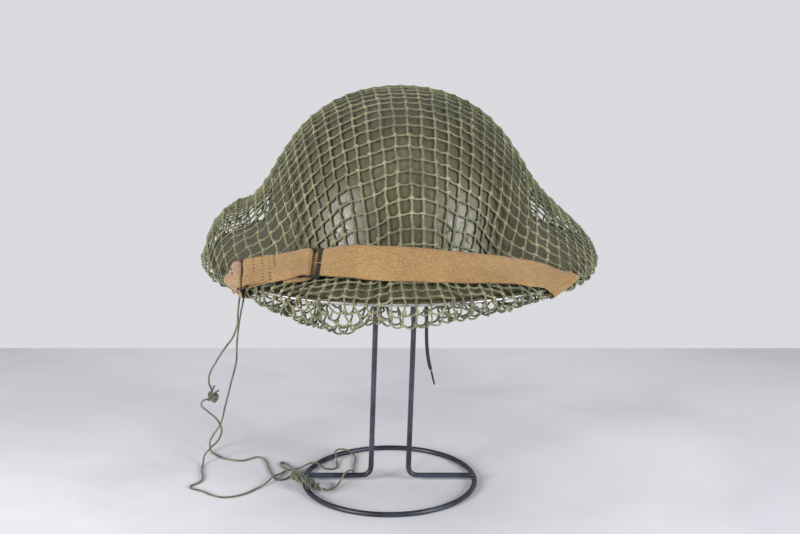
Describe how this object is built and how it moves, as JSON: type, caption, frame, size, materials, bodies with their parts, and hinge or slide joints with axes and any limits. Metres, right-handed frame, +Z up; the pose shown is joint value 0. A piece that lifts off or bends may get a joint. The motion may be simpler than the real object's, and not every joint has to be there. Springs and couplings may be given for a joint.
{
  "type": "military helmet with a net cover, on a wire display stand",
  "caption": "Shallow steel helmet with a wide turned-out brim under a knotted camouflage net, webbing chin strap pulled over the front of the brim, on a plain wire stand with a round foot.",
  "frame": {"origin": "on the surface that the stand's foot rests on, below the middle of the brim's outline", "axes": "+Z up, the wearer's face towards -Y, +X to the right as seen from the front"},
  "size_m": [0.3079, 0.3052, 0.3067],
  "materials": {
    "olive_steel": "semi-gloss olive drab paint with light scuffs",
    "rim_steel": "worn olive paint, pale at the edge",
    "net_twine": "matt knotted cotton twine, faded olive green",
    "strap_webbing": "golden tan woven cotton webbing, stained",
    "blackened_metal": "blackened and worn",
    "dark_lace": "dark round lace",
    "stand_paint": "smooth blue-black enamel"
  },
  "bodies": {
    "root": {"steel_shell": "olive_steel", "rim_band": "rim_steel", "net_cover": "net_twine", "chin_strap_web": "strap_webbing", "chin_strap_short": "strap_webbing", "chin_strap_tab": "strap_webbing", "chin_strap_tail": "strap_webbing", "strap_lug_right": "olive_steel", "strap_lug_left": "olive_steel", "strap_buckle": "blackened_metal", "strap_loop": "blackened_metal", "net_cord_left": "net_twine", "net_cord_right": "net_twine", "net_cord_loop": "net_twine", "cord_knot_base": "net_twine", "liner_lace": "dark_lace", "lace_tip": "dark_lace", "lace_stud": "blackened_metal", "wire_stand": "stand_paint"}
  },
  "joints": []
}
